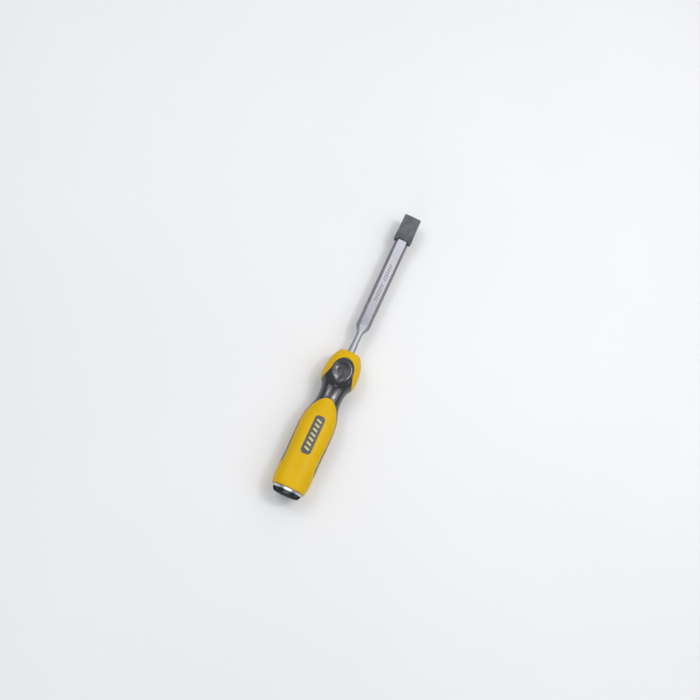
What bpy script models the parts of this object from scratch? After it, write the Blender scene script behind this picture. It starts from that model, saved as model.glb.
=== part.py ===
"""Bench chisel with a two-material handle, a steel strike cap and a push-on blade guard.

The chisel lies on a bench with its flat back down. +X runs from the strike cap to the cutting edge,
+Z is up, and the origin is at the bottom centre of the whole tool. Design lengths are in millimetres.
Stations along the tool are measured from the strike face.
"""
import math

import bmesh
import bpy
from mathutils import Vector

MM = 0.001
FIT_GAP = 0.3
TALL = 30.0

# Overall layout along the tool, from the strike face
HANDLE_END = 5.4
HANDLE_FRONT = 125.8
COLLAR = 103.6
TANG_END = 61.0
NECK_SLIM = 144.9
SHOULDER = 153.7
CUTTING_EDGE = 260.5
GUARD_MOUTH = 238.9
GUARD_TIP = 264.8
AXIS_HEIGHT = 13.8

# Handle body: station, half width, half height. The collar's nose is a blunt ellipse, cut flat at the front.
HANDLE_STATIONS = (
    (5.4, 13.5, 13.2),
    (6.4, 13.9, 13.4),
    (7.6, 14.15, 13.55),
    (10.2, 14.6, 13.7),
    (13.0, 14.85, 13.8),
    (21.05, 14.9, 13.75),
    (30.8, 14.65, 13.7),
    (42.5, 14.9, 13.8),
    (57.2, 15.0, 13.8),
    (64.8, 14.3, 13.3),
    (69.85, 13.2, 12.4),
    (75.2, 11.4, 11.0),
    (79.6, 10.2, 9.9),
    (85.45, 9.9, 9.3),
    (90.3, 10.3, 9.6),
    (93.75, 11.2, 10.3),
    (97.15, 13.3, 12.1),
    (100.1, 14.6, 13.4),
    (103.6, 14.9, 13.8),
)
COLLAR_NOSE = 26.0
COLLAR_NOSE_POWER = 2.3
NOSE_MARKS = (0.2, 0.38, 0.52, 0.64, 0.73, 0.8)
BODY_ROUNDNESS = 2.2
BODY_SEGMENTS = 40
LONGEST_STATION_STEP = 4.5

# Soft grip
GRIP_DEPTH = 2.0
GRIP_SPAN = (15.0, 123.5)
GRIP_CUTTER_SPAN = (11.0, 125.0)
CHANNEL_SPAN = (13.0, 124.5)
CHANNEL_CUTTER_SPAN = (9.0, 125.6)
PANEL_FRONT = 119.05
PANEL_ARCH_LENGTH = 10.85
PANEL_ARCH_HALF_WIDTH = 9.4
PANEL_ARCH_POWER = 1.85
PANEL_FLARE = 0.42
PANEL_FLARE_LEAD_IN = 3.0
PANEL_REAR = 91.4
PALM_FRONT = 82.4
PALM_ARCH_LENGTH = 24.7
PALM_HALF_WIDTH = 14.2
PALM_ARCH_POWER = 1.88
PALM_REAR = 26.4
PALM_REAR_HALF_WIDTH = 13.3
STRIP_END = 19.7
STRIP_END_SLANT = 3.5
DISH_CENTRE = 106.95
DISH_RADIUS = 5.8
DISH_DEPTH = 1.2

# Label inlays
LABEL_REAR = 33.6
LABEL_LENGTH = 32.2
LABEL_HALF_WIDTH = 4.2
LABEL_CHAMFER = 1.9
LABEL_DEPTH = 0.9

# Strike cap: station and radius, from the face's flat land round to the end of the stem
CAP_PROFILE = (
    (0.0, 0.0),
    (0.0, 6.0),
    (0.06, 8.4),
    (0.2, 9.4),
    (0.5, 10.1),
    (1.0, 10.55),
    (1.8, 11.0),
    (2.7, 11.5),
    (3.4, 11.95),
    (4.0, 12.45),
    (4.5, 12.9),
    (4.8, 13.1),
    (5.1, 13.1),
    (5.1, 9.0),
    (10.9, 9.0),
    (10.9, 4.0),
    (23.0, 4.0),
    (23.0, 0.0),
)
CAP_SEAT_PROFILE = (
    (-1.0, 0.0),
    (-1.0, 9.3),
    (11.2, 9.3),
    (11.2, 4.3),
    (23.3, 4.3),
    (23.3, 0.0),
)
CAP_SEGMENTS = 48

# Blade, neck and tang
BLADE_HALF_WIDTH = 6.0
BLADE_FLAT_HALF_WIDTH = 3.2
TIP_FLAT_HALF_WIDTH = 3.85
BLADE_BACK_DROP = 2.1
BLADE_SIDE_LAND = 1.5
BLADE_THICK = 4.2
TIP_THICK = 3.1
EDGE_BREAK = 0.15
CRISP_EDGE_BREAK = 0.05
GRINDING_ANGLE = math.radians(25.0)
NECK_SLIM_RADIUS = 2.65
NECK_ROOT_RADIUS = 3.2
NECK_STATIONS = (130.5, 135.5, 140.0)
SHOULDER_STEPS = 6
EXPOSED_BACK_MARGIN = 1.4
TANG_END_RADIUS = 2.3

# Blade guard
GUARD_HALF_WIDTH = 7.55
GUARD_LIP_HALF_WIDTH = 7.9
GUARD_LIP_LENGTH = 6.8
GUARD_LIP_RISE = 0.15
GUARD_TOP = 2.4
GUARD_BOTTOM = -3.3
GUARD_CORNER = 0.9
GUARD_NOTCH_LENGTH = 1.7
GUARD_NOTCH_HALF_WIDTH = 4.7
GUARD_NOTCH_CORNER = 1.1
NOTCH_FLOOR = 0.6
POCKET_THICK = 3.35

MATERIALS = {
    "tool_steel": ((0.62, 0.63, 0.66), 0.28, 1.0),
    "polished_steel": ((0.78, 0.79, 0.8), 0.12, 1.0),
    "hard_plastic": ((0.8, 0.46, 0.01), 0.3, 0.0),
    "soft_grip": ((0.02, 0.021, 0.023), 0.55, 0.0),
    "label": ((0.05, 0.052, 0.058), 0.4, 0.0),
    "guard_plastic": ((0.07, 0.075, 0.085), 0.5, 0.0),
}

TOOL_CENTRE = GUARD_TIP / 2


def place(station, across, up):
    """A point given by its station, its offset across the tool and its height over the tool's axis."""
    return ((station - TOOL_CENTRE) * MM, across * MM, (up + AXIS_HEIGHT) * MM)


# ---- scene helpers ----


def clear_scene():
    for item in list(bpy.data.objects):
        bpy.data.objects.remove(item, do_unlink=True)


def make_material(name):
    colour, roughness, metallic = MATERIALS[name]
    material = bpy.data.materials.new(name)
    material.use_nodes = True
    shader = material.node_tree.nodes["Principled BSDF"]
    shader.inputs["Base Color"].default_value = (*colour, 1.0)
    shader.inputs["Roughness"].default_value = roughness
    shader.inputs["Metallic"].default_value = metallic
    return material


def add_object(name, mesh, origin=(0.0, 0.0, 0.0)):
    """Links a mesh whose points are in world space, with the object's own origin at the given point."""
    for vertex in mesh.vertices:
        vertex.co -= Vector(origin)
    item = bpy.data.objects.new(name, mesh)
    item.location = origin
    bpy.context.scene.collection.objects.link(item)
    return item


def finish(item, material, sharp_degrees=35.0):
    item.data.materials.append(material)
    item.data.shade_smooth()
    item.data.set_sharp_from_angle(angle=math.radians(sharp_degrees))


def cutter(name, mesh):
    item = add_object(name, mesh)
    item.hide_render = True
    item.display_type = "WIRE"
    return item


def apply_boolean(item, tool, operation):
    """Adds an exact Boolean to the piece."""
    modifier = item.modifiers.new(tool.name, "BOOLEAN")
    modifier.operation = operation
    modifier.solver = "EXACT"
    modifier.object = tool


# ---- solid builders ----


def mesh_from_rings(name, rings):
    """Closes a stack of equal rings of points into one solid, with flat ends."""
    shape = bmesh.new()
    rows = [[shape.verts.new(point) for point in ring] for ring in rings]
    count = len(rows[0])
    for lower, upper in zip(rows, rows[1:]):
        for i in range(count):
            j = (i + 1) % count
            shape.faces.new((lower[i], lower[j], upper[j], upper[i]))
    shape.faces.new(rows[0])
    shape.faces.new(rows[-1])
    bmesh.ops.recalc_face_normals(shape, faces=shape.faces)
    mesh = bpy.data.meshes.new(name)
    shape.to_mesh(mesh)
    shape.free()
    return mesh


def turned_mesh(name, profile, segments):
    """Turns a station and radius profile about the tool's axis."""
    shape = bmesh.new()
    rows = []
    for station, radius in profile:
        if radius == 0.0:
            rows.append([shape.verts.new(place(station, 0.0, 0.0))])
            continue
        ring = []
        for i in range(segments):
            angle = math.tau * i / segments
            point = place(station, radius * math.cos(angle), radius * math.sin(angle))
            ring.append(shape.verts.new(point))
        rows.append(ring)
    for lower, upper in zip(rows, rows[1:]):
        for i in range(segments):
            j = (i + 1) % segments
            near = (lower[i % len(lower)], lower[j % len(lower)])
            far = (upper[j % len(upper)], upper[i % len(upper)])
            shape.faces.new(list(dict.fromkeys(near + far)))
    bmesh.ops.recalc_face_normals(shape, faces=shape.faces)
    mesh = bpy.data.meshes.new(name)
    shape.to_mesh(mesh)
    shape.free()
    return mesh


def prism_mesh(name, outline, low, high):
    """Raises a closed outline of (station, across) points from one height to another."""
    bottom = [place(station, across, low) for station, across in outline]
    top = [place(station, across, high) for station, across in outline]
    return mesh_from_rings(name, [bottom, top])


def outline_cutter(name, outline):
    """Cutter that follows an outline right through the handle."""
    return cutter(name, prism_mesh(name, outline, -TALL, TALL))


def half_outline_cutter(name, outline, side):
    """Cutter that follows an outline through the upper or the lower half of the handle."""
    low, high = sorted((side * 2.0, side * TALL))
    return cutter(name, prism_mesh(name, outline, low, high))


def rounded_section(half_width, half_height, power, count):
    """Superellipse points around the axis, with a facet rather than an edge at each side, top and bottom.

    The oval is wider than high, so the real handle rests steadily on its underside, and so does a facet.
    """
    outermost = math.cos(math.pi / count)
    points = []
    for i in range(count):
        angle = math.tau * (i + 0.5) / count
        cosine, sine = math.cos(angle) / outermost, math.sin(angle) / outermost
        across = half_width * math.copysign(abs(cosine) ** (2 / power), cosine)
        up = half_height * math.copysign(abs(sine) ** (2 / power), sine)
        points.append((across, up))
    return points


# ---- handle body ----


def smooth_value(table, station, column):
    """Monotone cubic interpolation of one column of a table of stations."""
    rows = list(table)
    slopes = [(b[column] - a[column]) / (b[0] - a[0]) for a, b in zip(rows, rows[1:])]
    tangents = [slopes[0]]
    for left, right in zip(slopes, slopes[1:]):
        same_way = left * right > 0.0
        tangents.append(2.0 * left * right / (left + right) if same_way else 0.0)
    tangents.append(0.0)
    for i, (a, b) in enumerate(zip(rows, rows[1:])):
        if station <= b[0] or i == len(rows) - 2:
            span = b[0] - a[0]
            t = min(max((station - a[0]) / span, 0.0), 1.0)
            start = a[column] * (2 * t**3 - 3 * t**2 + 1) + tangents[i] * span * (t**3 - 2 * t**2 + t)
            end = b[column] * (3 * t**2 - 2 * t**3) + tangents[i + 1] * span * (t**3 - t**2)
            return start + end


def body_half_sizes(station):
    """Half width and half height of the handle's outside."""
    if station > COLLAR:
        reach = (station - COLLAR) / COLLAR_NOSE
        nose = (1.0 - reach**COLLAR_NOSE_POWER) ** (1.0 / COLLAR_NOSE_POWER)
        return HANDLE_STATIONS[-1][1] * nose, HANDLE_STATIONS[-1][2] * nose
    return smooth_value(HANDLE_STATIONS, station, 1), smooth_value(HANDLE_STATIONS, station, 2)


def body_stations(start, end):
    """The table's stations with extra ones where they are far apart, and closer ones on the nose."""
    marks = [row[0] for row in HANDLE_STATIONS]
    marks += [COLLAR + COLLAR_NOSE * share for share in NOSE_MARKS]
    marks = [start] + [mark for mark in marks if start < mark < end] + [end]
    stations = [marks[0]]
    for a, b in zip(marks, marks[1:]):
        steps = math.ceil((b - a) / LONGEST_STATION_STEP)
        stations += [a + (b - a) * (i + 1) / steps for i in range(steps)]
    return stations


def body_mesh(name, start, end, inset):
    """The handle's outside between two stations, shrunk by the inset."""
    rings = []
    for station in body_stations(start, end):
        half_width, half_height = body_half_sizes(min(max(station, HANDLE_END), HANDLE_FRONT))
        section = rounded_section(half_width - inset, half_height - inset, BODY_ROUNDNESS, BODY_SEGMENTS)
        rings.append([place(station, across, up) for across, up in section])
    return mesh_from_rings(name, rings)


# ---- soft grip outlines ----


def mirrored_outline(upper_side):
    """Closes a half outline with its mirror image across the tool's middle."""
    lower_side = [(station, -across) for station, across in reversed(upper_side) if across > 0.0]
    return upper_side + lower_side


def front_outline(grow):
    """Arched outline of the front panel, open to the sides behind the horns."""
    centre = PANEL_FRONT - PANEL_ARCH_LENGTH
    points = []
    for i in range(9):
        angle = math.radians(90.0 * i / 8)
        station = centre + (PANEL_ARCH_LENGTH + grow) * math.cos(angle) ** (2 / PANEL_ARCH_POWER)
        across = (PANEL_ARCH_HALF_WIDTH + grow) * math.sin(angle) ** (2 / PANEL_ARCH_POWER)
        points.append((station, across if i else 0.0))
    for step in (3.0, 6.0, 9.0, 12.0, centre - PANEL_REAR):
        across = PANEL_ARCH_HALF_WIDTH + grow + PANEL_FLARE * step**2 / (step + PANEL_FLARE_LEAD_IN)
        points.append((centre - step, across))
    widest = max(row[1] for row in HANDLE_STATIONS)
    inside = PALM_REAR_HALF_WIDTH - 2.0
    inner_end = STRIP_END + (widest - inside) * STRIP_END_SLANT - grow
    points.append((PANEL_REAR - 1.0, widest + 5.0))
    points.append((STRIP_END - grow, widest + 5.0))
    points.append((STRIP_END - grow, widest))
    points.append((inner_end, inside))
    points.append((inner_end, 0.0))
    return mirrored_outline(points)


def palm_outline(grow):
    """Long panel with an arched front, running back past the end of the side strips."""
    centre = PALM_FRONT - PALM_ARCH_LENGTH
    points = []
    for i in range(13):
        angle = math.radians(90.0 * i / 12)
        station = centre + (PALM_ARCH_LENGTH + grow) * math.cos(angle) ** (2 / PALM_ARCH_POWER)
        across = (PALM_HALF_WIDTH + grow) * math.sin(angle) ** (2 / PALM_ARCH_POWER)
        points.append((station, across if i else 0.0))
    points.append(((centre + PALM_REAR) / 2, (PALM_HALF_WIDTH * 2 + PALM_REAR_HALF_WIDTH) / 3 + grow))
    points.append((PALM_REAR, PALM_REAR_HALF_WIDTH + grow))
    points.append((STRIP_END - 4.0, PALM_REAR_HALF_WIDTH + grow))
    points.append((STRIP_END - 4.0, 0.0))
    return mirrored_outline(points)


def label_outline(grow):
    """Elongated octagon."""
    rear = LABEL_REAR - grow
    front = LABEL_REAR + LABEL_LENGTH + grow
    half = LABEL_HALF_WIDTH + grow
    cut = LABEL_CHAMFER
    return [
        (front, -half + cut),
        (front, half - cut),
        (front - cut, half),
        (rear + cut, half),
        (rear, half - cut),
        (rear, -half + cut),
        (rear + cut, -half),
        (front - cut, -half),
    ]


# ---- pieces ----


def dish_cutter(side):
    """Ball that leaves the shallow round thumb dish on one face of the grip."""
    ball_radius = (DISH_RADIUS**2 + DISH_DEPTH**2) / (2 * DISH_DEPTH)
    surface = body_half_sizes(DISH_CENTRE)[1]
    height = side * (surface + ball_radius - DISH_DEPTH)
    shape = bmesh.new()
    bmesh.ops.create_uvsphere(shape, u_segments=40, v_segments=24, radius=ball_radius * MM)
    mesh = bpy.data.meshes.new(f"dish_cutter_{side:+d}")
    shape.to_mesh(mesh)
    shape.free()
    item = cutter(f"dish_cutter_{side:+d}", mesh)
    item.location = place(DISH_CENTRE, 0.0, height)
    return item


def make_grip_overmould(material):
    grip = add_object("grip_overmould", body_mesh("grip_overmould", *GRIP_SPAN, 0.0))
    inner = cutter("grip_inner_cutter", body_mesh("grip_inner_cutter", *GRIP_CUTTER_SPAN, GRIP_DEPTH))
    outline = outline_cutter("grip_front_keeper", front_outline(-FIT_GAP / 2))
    palm = outline_cutter("grip_palm_cutter", palm_outline(FIT_GAP / 2))
    apply_boolean(grip, inner, "DIFFERENCE")
    apply_boolean(grip, outline, "INTERSECT")
    apply_boolean(grip, palm, "DIFFERENCE")
    for side in (1, -1):
        apply_boolean(grip, dish_cutter(side), "DIFFERENCE")
    finish(grip, material)


def make_handle_core(material):
    core = add_object("handle_core", body_mesh("handle_core", HANDLE_END, HANDLE_FRONT, 0.0))
    channel = cutter("channel_cutter", body_mesh("channel_cutter", *CHANNEL_SPAN, -1.0))
    channel_depth = GRIP_DEPTH + FIT_GAP
    kept = cutter("channel_inner", body_mesh("channel_inner", *CHANNEL_CUTTER_SPAN, channel_depth))
    outline = outline_cutter("channel_keeper", front_outline(FIT_GAP / 2))
    palm = outline_cutter("channel_palm", palm_outline(-FIT_GAP / 2))
    apply_boolean(channel, kept, "DIFFERENCE")
    apply_boolean(channel, outline, "INTERSECT")
    apply_boolean(channel, palm, "DIFFERENCE")
    apply_boolean(core, channel, "DIFFERENCE")
    for side in (1, -1):
        apply_boolean(core, label_pocket(side), "DIFFERENCE")
    seat = cutter("cap_seat", turned_mesh("cap_seat", CAP_SEAT_PROFILE, CAP_SEGMENTS))
    apply_boolean(core, seat, "DIFFERENCE")
    bore = cutter("tang_bore", tang_mesh("tang_bore", FIT_GAP, HANDLE_FRONT + 5.0))
    apply_boolean(core, bore, "DIFFERENCE")
    finish(core, material)


def label_pocket(side):
    """Cutter for the recess under one label inlay."""
    start, end = LABEL_REAR - 4.0, LABEL_REAR + LABEL_LENGTH + 4.0
    pocket = cutter(f"label_pocket_{side:+d}", body_mesh("label_pocket", start, end, -1.0))
    pocket_depth = LABEL_DEPTH + FIT_GAP
    floor = cutter(f"label_floor_{side:+d}", body_mesh("label_floor", start - 4, end + 4, pocket_depth))
    frame = half_outline_cutter(f"label_frame_{side:+d}", label_outline(FIT_GAP / 2), side)
    apply_boolean(pocket, floor, "DIFFERENCE")
    apply_boolean(pocket, frame, "INTERSECT")
    return pocket


def make_label_inlay(name, side, material):
    start, end = LABEL_REAR - 3.0, LABEL_REAR + LABEL_LENGTH + 3.0
    inlay = add_object(name, body_mesh(name, start, end, 0.0))
    floor = cutter(f"{name}_floor", body_mesh(f"{name}_floor", start - 4, end + 4, LABEL_DEPTH))
    frame = half_outline_cutter(f"{name}_frame", label_outline(-FIT_GAP / 2), side)
    apply_boolean(inlay, floor, "DIFFERENCE")
    apply_boolean(inlay, frame, "INTERSECT")
    finish(inlay, material)


def make_strike_cap(material):
    cap = add_object("strike_cap", turned_mesh("strike_cap", CAP_PROFILE, CAP_SEGMENTS))
    finish(cap, material)


def blade_section(station, half_width, back, side_low, side_high, flat_half_width, top):
    """Eight-sided section: flat back, two corner breaks, two sides, two bevels and the flat top."""
    back_half = half_width - (side_low - back)
    corners = (
        (-back_half, back),
        (back_half, back),
        (half_width, side_low),
        (half_width, side_high),
        (flat_half_width, top),
        (-flat_half_width, top),
        (-half_width, side_high),
        (-half_width, side_low),
    )
    return [place(station, across, up) for across, up in corners]


def octagon_section(station, radius):
    """Regular octagon that lines up with the blade's section corner by corner."""
    flat = radius * math.tan(math.pi / 8)
    return blade_section(station, radius, -radius, -flat, flat, flat, radius)


def tang_radius(station):
    """Across-flats radius of the tang and neck."""
    if station <= HANDLE_FRONT:
        share = (station - TANG_END) / (HANDLE_FRONT - TANG_END)
        return TANG_END_RADIUS + (NECK_ROOT_RADIUS - TANG_END_RADIUS) * share
    share = min((station - HANDLE_FRONT) / (NECK_SLIM - HANDLE_FRONT), 1.0)
    ease = share * share * (3.0 - 2.0 * share)
    return NECK_ROOT_RADIUS + (NECK_SLIM_RADIUS - NECK_ROOT_RADIUS) * ease


def tang_mesh(name, gap, end):
    """The tang, or with a gap the bore that takes it."""
    rings = []
    for station in (TANG_END - gap, HANDLE_FRONT, end):
        rings.append(octagon_section(station, tang_radius(max(station, TANG_END)) + gap))
    return mesh_from_rings(name, rings)


def neck_sizes():
    """Section sizes at the slim end of the neck, in the order that blade_section takes them."""
    flat = NECK_SLIM_RADIUS * math.tan(math.pi / 8)
    return NECK_SLIM_RADIUS, -NECK_SLIM_RADIUS, -flat, flat, flat, NECK_SLIM_RADIUS


def blade_sizes(thick, edge_break=EDGE_BREAK):
    """Section sizes of the ground blade where it has the given thickness: the flat widens as it thins."""
    back = -BLADE_BACK_DROP
    thinned = (BLADE_THICK - thick) / (BLADE_THICK - TIP_THICK)
    flat_half_width = BLADE_FLAT_HALF_WIDTH + (TIP_FLAT_HALF_WIDTH - BLADE_FLAT_HALF_WIDTH) * thinned
    return (
        BLADE_HALF_WIDTH,
        back,
        back + edge_break,
        back + BLADE_SIDE_LAND,
        flat_half_width,
        back + thick,
    )


def shoulder_rings():
    """Sections that swell from the neck to the full blade."""
    rings = []
    for step in range(1, SHOULDER_STEPS + 1):
        share = step / SHOULDER_STEPS
        ease = share * share * (3.0 - 2.0 * share)
        sizes = [a + (b - a) * ease for a, b in zip(neck_sizes(), blade_sizes(BLADE_THICK))]
        rings.append(blade_section(NECK_SLIM + (SHOULDER - NECK_SLIM) * share, *sizes))
    return rings


def cutting_bevel_ring():
    """The last section, laid back along the grinding angle, with its long edges left almost crisp."""
    floor = place(0.0, 0.0, -BLADE_BACK_DROP)[2]
    ring = blade_section(CUTTING_EDGE, *blade_sizes(TIP_THICK, CRISP_EDGE_BREAK))
    return [(x - (z - floor) / math.tan(GRINDING_ANGLE), y, z) for x, y, z in ring]


def make_blade(material):
    stations = (TANG_END, HANDLE_FRONT, *NECK_STATIONS, NECK_SLIM)
    rings = [octagon_section(station, tang_radius(station)) for station in stations]
    rings += shoulder_rings()
    share = (GUARD_MOUTH - EXPOSED_BACK_MARGIN - SHOULDER) / (CUTTING_EDGE - SHOULDER)
    thick = BLADE_THICK + (TIP_THICK - BLADE_THICK) * share
    rings.append(blade_section(GUARD_MOUTH - EXPOSED_BACK_MARGIN, *blade_sizes(thick)))
    rings.append(cutting_bevel_ring())
    blade = add_object("blade", mesh_from_rings("blade", rings))
    finish(blade, material, 20.0)


def guard_ring(station, half_width, rise):
    """Rounded rectangle around the blade."""
    low, high = GUARD_BOTTOM - rise, GUARD_TOP + rise
    centres = (
        (half_width - GUARD_CORNER, high - GUARD_CORNER, 0.0),
        (-half_width + GUARD_CORNER, high - GUARD_CORNER, 90.0),
        (-half_width + GUARD_CORNER, low + GUARD_CORNER, 180.0),
        (half_width - GUARD_CORNER, low + GUARD_CORNER, 270.0),
    )
    ring = []
    for across, up, start in centres:
        for step in range(4):
            angle = math.radians(start + 30.0 * step)
            corner = (across + GUARD_CORNER * math.cos(angle), up + GUARD_CORNER * math.sin(angle))
            ring.append(place(station, *corner))
    return ring


def notch_outline():
    """Shallow round-cornered notch cut into the upper wall of the guard's mouth."""
    end = GUARD_MOUTH + GUARD_NOTCH_LENGTH
    points = [(GUARD_MOUTH - 2.0, 0.0), (GUARD_MOUTH - 2.0, GUARD_NOTCH_HALF_WIDTH)]
    for step in range(5):
        angle = math.radians(22.5 * step)
        station = end - GUARD_NOTCH_CORNER + GUARD_NOTCH_CORNER * math.sin(angle)
        across = GUARD_NOTCH_HALF_WIDTH - GUARD_NOTCH_CORNER + GUARD_NOTCH_CORNER * math.cos(angle)
        points.append((station, across))
    points.append((end, 0.0))
    return mirrored_outline(points)


def grown_sizes(sizes, gap):
    """Blade section sizes opened out by a gap, for the pocket around the blade."""
    outward = (1, -1, -1, 1, 1, 1)
    return [size + way * gap for size, way in zip(sizes, outward)]


def make_blade_guard(material):
    lip_end = GUARD_MOUTH + GUARD_LIP_LENGTH
    rings = [
        guard_ring(GUARD_MOUTH, GUARD_LIP_HALF_WIDTH, GUARD_LIP_RISE),
        guard_ring(lip_end - 0.8, GUARD_LIP_HALF_WIDTH - 0.1, GUARD_LIP_RISE),
        guard_ring(lip_end, GUARD_HALF_WIDTH + 0.05, 0.0),
        guard_ring(GUARD_TIP - 0.5, GUARD_HALF_WIDTH, 0.0),
        guard_ring(GUARD_TIP, GUARD_HALF_WIDTH - 0.4, -0.4),
    ]
    mouth = place(GUARD_MOUTH, 0.0, 0.0)
    guard = add_object("blade_guard", mesh_from_rings("blade_guard", rings), mouth)
    pocket_size = grown_sizes(blade_sizes(POCKET_THICK), FIT_GAP)
    pocket_rings = [blade_section(x, *pocket_size) for x in (GUARD_MOUTH - 2.0, CUTTING_EDGE + FIT_GAP)]
    pocket = cutter("guard_pocket", mesh_from_rings("guard_pocket", pocket_rings))
    notch = cutter("guard_notch", prism_mesh("guard_notch", notch_outline(), NOTCH_FLOOR, TALL))
    apply_boolean(guard, pocket, "DIFFERENCE")
    apply_boolean(guard, notch, "DIFFERENCE")
    finish(guard, material)


def main():
    clear_scene()
    materials = {name: make_material(name) for name in MATERIALS}
    make_blade(materials["tool_steel"])
    make_handle_core(materials["hard_plastic"])
    make_grip_overmould(materials["soft_grip"])
    make_label_inlay("label_inlay_top", 1, materials["label"])
    make_label_inlay("label_inlay_bottom", -1, materials["label"])
    make_strike_cap(materials["polished_steel"])
    make_blade_guard(materials["guard_plastic"])


main()
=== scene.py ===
"""Bench chisel with a yellow and black handle, a polished strike cap and a push-on blade guard.

Lengths are in millimetres until a mesh is written. A point is given by its station along the tool from
the strike face, its offset across the tool (+Y) and its height over the tool's axis.
"""

import math

import bmesh
import bpy
import numpy as np
from mathutils import Matrix, Vector


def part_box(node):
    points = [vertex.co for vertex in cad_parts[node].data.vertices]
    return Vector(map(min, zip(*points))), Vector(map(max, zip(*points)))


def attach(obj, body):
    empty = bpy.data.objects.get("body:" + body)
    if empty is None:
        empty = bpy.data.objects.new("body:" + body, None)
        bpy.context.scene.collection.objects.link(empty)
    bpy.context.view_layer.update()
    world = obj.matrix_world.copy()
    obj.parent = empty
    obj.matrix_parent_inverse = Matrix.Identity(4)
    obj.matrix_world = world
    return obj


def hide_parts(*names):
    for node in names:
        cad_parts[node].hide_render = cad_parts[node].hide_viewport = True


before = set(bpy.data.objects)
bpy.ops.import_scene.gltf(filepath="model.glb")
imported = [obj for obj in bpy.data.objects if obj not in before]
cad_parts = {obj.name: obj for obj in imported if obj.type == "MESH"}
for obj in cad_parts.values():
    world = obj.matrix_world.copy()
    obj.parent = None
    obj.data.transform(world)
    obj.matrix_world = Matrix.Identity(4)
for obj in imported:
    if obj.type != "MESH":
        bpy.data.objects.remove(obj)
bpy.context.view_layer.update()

MM = 0.001

# The frame gives the tool's axis and the stations where each CAD piece starts and ends
CAP_LOW, CAP_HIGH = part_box("strike_cap")
CORE_LOW, CORE_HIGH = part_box("handle_core")
BLADE_LOW, BLADE_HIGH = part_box("blade")
GUARD_LOW, GUARD_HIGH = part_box("blade_guard")
LABEL_LOW, LABEL_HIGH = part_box("label_inlay_top")
STRIKE_X = CAP_LOW.x
AXIS_Z = (CAP_LOW.z + CAP_HIGH.z) / 2


def station_of(x):
    """Station in millimetres of a place along the frame's X axis."""
    return (x - STRIKE_X) / MM


HANDLE_END = station_of(CORE_LOW.x)
HANDLE_FRONT = station_of(CORE_HIGH.x)
CUTTING_EDGE = station_of(BLADE_HIGH.x)
GUARD_MOUTH = station_of(GUARD_LOW.x)
GUARD_TIP = station_of(GUARD_HIGH.x)

# Handle outside: station, half width, half height
HANDLE_STATIONS = (
    (5.4, 13.45, 13.15), (6.4, 13.85, 13.35), (7.6, 14.1, 13.5), (10.2, 14.55, 13.65),
    (13.0, 14.8, 13.75), (21.05, 14.87, 13.72), (30.8, 14.62, 13.66), (42.5, 14.87, 13.74),
    (57.2, 14.95, 13.7), (64.8, 14.25, 13.2), (69.85, 13.15, 12.3), (75.2, 11.4, 10.95),
    (79.6, 10.2, 9.85), (85.45, 9.87, 9.25), (90.3, 10.25, 9.4), (93.75, 11.15, 10.0),
    (97.15, 13.25, 11.6), (100.1, 14.5, 12.65), (103.6, 14.87, 12.95),
)
COLLAR = 103.6
COLLAR_NOSE = 26.0
COLLAR_NOSE_POWER = 2.3
BODY_POWER = 2.2
PROFILE_STEP = 0.1
PROFILE_SOFTNESS = 1.1
EDGE_ROUND_FRONT = 1.0
EDGE_ROUND_BUTT = 0.6

# Outlines seen from above, shared by the top and the underside
PANEL_FRONT = 119.05
PANEL_ARCH_LENGTH = 10.85
PANEL_ARCH_HALF_WIDTH = 9.4
PANEL_ARCH_POWER = 1.85
PANEL_FLARE = 0.42
PANEL_FLARE_LEAD_IN = 3.0
PALM_FRONT = 82.4
PALM_ARCH_LENGTH = 24.7
PALM_ARCH_POWER = 1.88
PALM_HALF_WIDTH = 14.2
PALM_REAR = 26.4
PALM_REAR_HALF_WIDTH = 13.3
STRIP_END = 19.7
STRIP_END_SLANT = 3.5
STRIP_INSET = 3.0
PANEL_FLARE_LENGTH = 16.0
PALM_OVERRUN = 9.0
OUTLINE_MARGIN = 5.0
OUTLINE_CORNER = 1.2

# Thumb rest on the front panel: an egg-shaped crest round a shallow dish
DISH_CENTRE = 106.95
CREST_HALF_WIDTH = 7.4
CREST_FRONT_LENGTH = 8.2
CREST_REAR_LENGTH = 12.2
CREST_REAR_POWER = 1.5
CREST_HEIGHT = 0.8
DISH_DEPTH = 1.0
BOWL_DEPTH = 0.45
BOWL_SHARE = 0.66
CREST_SPREAD = 0.16
DISH_WALL_START = 0.58
DISH_WALL_SPAN = 0.42

# Seams between the mouldings
CORE_EDGE_ROUND = 0.35
GRIP_EDGE_ROUND = 0.5
GROOVE_WIDTH = 0.05
GROOVE_DEPTH = 1.0
WALL_DEPTH = GROOVE_DEPTH - 0.1
LABEL_GAP = 0.15
LABEL_CORNER_CUT = 1.9
PLACES_AT_A_TIME = 20000


def place(station, across, up):
    """World points for stations, offsets and heights in millimetres."""
    station, across, up = np.broadcast_arrays(station, across, up)
    return np.stack([STRIKE_X + station * MM, across * MM, AXIS_Z + up * MM], axis=-1)


# ---- outline curves ----


def hermite_curve(rows, column, at):
    """Monotone cubic through the rows of a table."""
    x = np.array([row[0] for row in rows])
    y = np.array([row[column] for row in rows])
    step = np.diff(x)
    slope = np.diff(y) / step
    product = slope[1:] * slope[:-1]
    total = slope[1:] + slope[:-1]
    inner = np.where(product > 0.0, 2.0 * product / np.where(total == 0.0, 1.0, total), 0.0)
    tangent = np.concatenate([[slope[0]], inner, [0.0]])
    i = np.clip(np.searchsorted(x, at) - 1, 0, len(step) - 1)
    t = np.clip((at - x[i]) / step[i], 0.0, 1.0)
    start = y[i] * (2 * t**3 - 3 * t**2 + 1) + tangent[i] * step[i] * (t**3 - 2 * t**2 + t)
    end = y[i + 1] * (3 * t**2 - 2 * t**3) + tangent[i + 1] * step[i] * (t**3 - t**2)
    return start + end


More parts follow.
